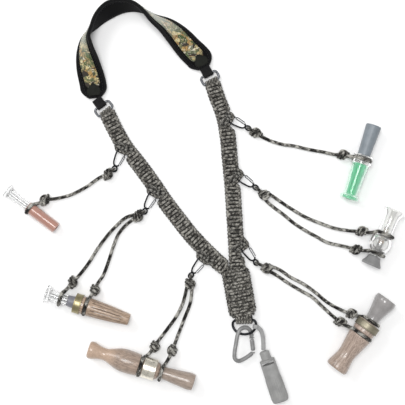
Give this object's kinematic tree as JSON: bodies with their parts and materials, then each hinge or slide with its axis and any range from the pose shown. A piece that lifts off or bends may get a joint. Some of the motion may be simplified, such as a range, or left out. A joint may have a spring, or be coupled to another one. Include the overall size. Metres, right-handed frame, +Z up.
{
  "type": "duck call lanyard",
  "caption": "Braided cord lanyard with a padded neck strap, snap hook drops that hold game calls by cord nooses, a D ring, a carabiner and a whistle, laid out flat.",
  "frame": {"origin": "centre of the footprint of the rig as it lies flat, on the surface it lies on", "axes": "+Z up from the surface, +Y towards the neck strap, +X to the right with the neck strap at the top"},
  "size_m": [0.4807, 0.4829, 0.0307],
  "materials": {
    "paracord": "matte braided",
    "neck_foam": "matte",
    "camo_cloth": "matte woven",
    "webbing": "satin woven",
    "link_steel": "polished",
    "gunmetal": "satin",
    "gate_steel": "satin",
    "grey_alloy": "satin",
    "strap_rubber": "matte",
    "whistle_plastic": "matte",
    "tinted_acrylic": "gloss",
    "clear_acrylic": "gloss",
    "light_wood": "satin",
    "dark_wood": "satin",
    "dull_wood": "satin",
    "green_acrylic": "gloss",
    "grey_plastic": "satin",
    "frosted_grey": "frosted",
    "brass": "polished",
    "reed_film": "satin"
  },
  "bodies": {
    "lanyard": {"neck_pad": "neck_foam", "camo_panel": "camo_cloth", "strap_tab_left": "webbing", "strap_tab_right": "webbing", "link_ring_left": "link_steel", "link_ring_right": "link_steel", "left_braid": "paracord", "right_braid": "paracord", "king_braid": "paracord"},
    "drop_1": {"snap_hook_1": "gunmetal", "drop_cord_1": "paracord", "barrel_1": "tinted_acrylic"},
    "gate_1": {"snap_gate_1": "gate_steel"},
    "call_insert_1": {"insert_1": "clear_acrylic", "reed_1": "reed_film"},
    "drop_2": {"snap_hook_2": "gunmetal", "drop_cord_2a": "paracord", "drop_cord_2b": "paracord", "barrel_2": "light_wood", "band_2": "brass"},
    "gate_2": {"snap_gate_2": "gate_steel"},
    "call_insert_2": {"insert_2": "clear_acrylic", "reed_2": "reed_film"},
    "drop_3": {"snap_hook_3": "gunmetal", "drop_cord_3a": "paracord", "drop_cord_3b": "paracord", "barrel_3": "dark_wood", "band_3": "brass"},
    "gate_3": {"snap_gate_3": "gate_steel"},
    "call_insert_3": {"insert_3": "dull_wood", "reed_3": "reed_film"},
    "drop_4": {"snap_hook_4": "gunmetal", "drop_cord_4": "paracord", "barrel_4": "green_acrylic"},
    "gate_4": {"snap_gate_4": "gate_steel"},
    "call_insert_4": {"insert_4": "grey_plastic", "reed_4": "reed_film"},
    "drop_5": {"snap_hook_5": "gunmetal", "drop_cord_5a": "paracord", "drop_cord_5b": "paracord", "barrel_5": "clear_acrylic"},
    "gate_5": {"snap_gate_5": "gate_steel"},
    "call_insert_5": {"insert_5": "frosted_grey", "reed_5": "reed_film"},
    "drop_6": {"snap_hook_6": "gunmetal", "drop_cord_6a": "paracord", "drop_cord_6b": "paracord", "barrel_6": "dark_wood", "band_6": "brass"},
    "gate_6": {"snap_gate_6": "gate_steel"},
    "call_insert_6": {"insert_6": "frosted_grey", "reed_6": "reed_film"},
    "d_ring_and_strap": {"d_ring": "gunmetal", "whistle_strap": "strap_rubber"},
    "carabiner": {"carabiner_body": "grey_alloy"},
    "carabiner_gate": {"carabiner_gate": "grey_alloy"},
    "whistle": {"whistle": "whistle_plastic"}
  },
  "joints": [
    {"name": "drop_1_lift", "type": "hinge", "parent": "lanyard", "child": "drop_1", "pos_m": [-0.0975, 0.061, 0.0056], "axis": [-0.9272, 0.3746, 0], "range_deg": [0, 60]},
    {"name": "gate_1_open", "type": "hinge", "parent": "drop_1", "child": "gate_1", "pos_m": [-0.10033, 0.0451, 0.00304], "axis": [0.5644, -0.228, 0.7934], "range_deg": [0, 28], "stiffness_Nm_per_rad": 0.01},
    {"name": "insert_1_pull", "type": "slide", "parent": "drop_1", "child": "call_insert_1", "axis": [-0.7955, 0.606, 0], "range_m": [0, 0.035]},
    {"name": "drop_2_lift", "type": "hinge", "parent": "lanyard", "child": "drop_2", "pos_m": [-0.0595, 0.0092, 0.0056], "axis": [-0.891, 0.454, 0], "range_deg": [0, 60]},
    {"name": "gate_2_open", "type": "hinge", "parent": "drop_2", "child": "gate_2", "pos_m": [-0.0637, -0.00639, 0.00304], "axis": [0.5424, -0.2764, 0.7934], "range_deg": [0, 28], "stiffness_Nm_per_rad": 0.01},
    {"name": "insert_2_pull", "type": "slide", "parent": "drop_2", "child": "call_insert_2", "axis": [-0.9542, 0.299, 0], "range_m": [0, 0.042]},
    {"name": "drop_3_lift", "type": "hinge", "parent": "lanyard", "child": "drop_3", "pos_m": [-0.0007, -0.0696, 0.0056], "axis": [-0.809, 0.5878, 0], "range_deg": [0, 60]},
    {"name": "gate_3_open", "type": "hinge", "parent": "drop_3", "child": "gate_3", "pos_m": [-0.00729, -0.08434, 0.00304], "axis": [0.4925, -0.3578, 0.7934], "range_deg": [0, 28], "stiffness_Nm_per_rad": 0.01},
    {"name": "insert_3_pull", "type": "slide", "parent": "drop_3", "child": "call_insert_3", "axis": [0.9527, -0.304, 0], "range_m": [0, 0.044]},
    {"name": "drop_4_lift", "type": "hinge", "parent": "lanyard", "child": "drop_4", "pos_m": [0.035, 0.0996, 0.0056], "axis": [-0.454, -0.891, 0], "range_deg": [0, 60]},
    {"name": "gate_4_open", "type": "hinge", "parent": "drop_4", "child": "gate_4", "pos_m": [0.05059, 0.0954, 0.00304], "axis": [0.2764, 0.5424, 0.7934], "range_deg": [0, 28], "stiffness_Nm_per_rad": 0.01},
    {"name": "insert_4_pull", "type": "slide", "parent": "drop_4", "child": "call_insert_4", "axis": [0.3223, 0.9466, 0], "range_m": [0, 0.042]},
    {"name": "drop_5_lift", "type": "hinge", "parent": "lanyard", "child": "drop_5", "pos_m": [0.0455, 0.0305, 0.0056], "axis": [-0.5592, -0.829, 0], "range_deg": [0, 60]},
    {"name": "gate_5_open", "type": "hinge", "parent": "drop_5", "child": "gate_5", "pos_m": [0.06046, 0.02443, 0.00304], "axis": [0.3404, 0.5047, 0.7934], "range_deg": [0, 28], "stiffness_Nm_per_rad": 0.01},
    {"name": "insert_5_pull", "type": "slide", "parent": "drop_5", "child": "call_insert_5", "axis": [-0.4019, -0.9157, 0], "range_m": [0, 0.02]},
    {"name": "drop_6_lift", "type": "hinge", "parent": "lanyard", "child": "drop_6", "pos_m": [0.0507, -0.0547, 0.0056], "axis": [-0.788, -0.6157, 0], "range_deg": [0, 60]},
    {"name": "gate_6_open", "type": "hinge", "parent": "drop_6", "child": "gate_6", "pos_m": [0.06305, -0.0651, 0.00304], "axis": [0.4797, 0.3748, 0.7934], "range_deg": [0, 28], "stiffness_Nm_per_rad": 0.01},
    {"name": "insert_6_pull", "type": "slide", "parent": "drop_6", "child": "call_insert_6", "axis": [0.592, 0.8059, 0], "range_m": [0, 0.024]},
    {"name": "d_ring_swing", "type": "hinge", "parent": "lanyard", "child": "d_ring_and_strap", "pos_m": [0.05, -0.141, 0.0073], "axis": [-0.973, -0.051, -0.225], "range_deg": [0, 90]},
    {"name": "carabiner_swing", "type": "hinge", "parent": "d_ring_and_strap", "child": "carabiner", "pos_m": [0.0509, -0.15818, 0.0073], "axis": [-0.973, -0.051, -0.225], "range_deg": [0, 18]},
    {"name": "carabiner_gate_open", "type": "hinge", "parent": "carabiner", "child": "carabiner_gate", "pos_m": [0.06084, -0.1779, 0.00334], "axis": [0.342, 0, 0.9397], "range_deg": [0, 30], "stiffness_Nm_per_rad": 0.05},
    {"name": "whistle_lift", "type": "hinge", "parent": "d_ring_and_strap", "child": "whistle", "pos_m": [0.0734, -0.1778, 0.0086], "axis": [-0.9455, -0.3256, 0], "range_deg": [0, 40]}
  ]
}
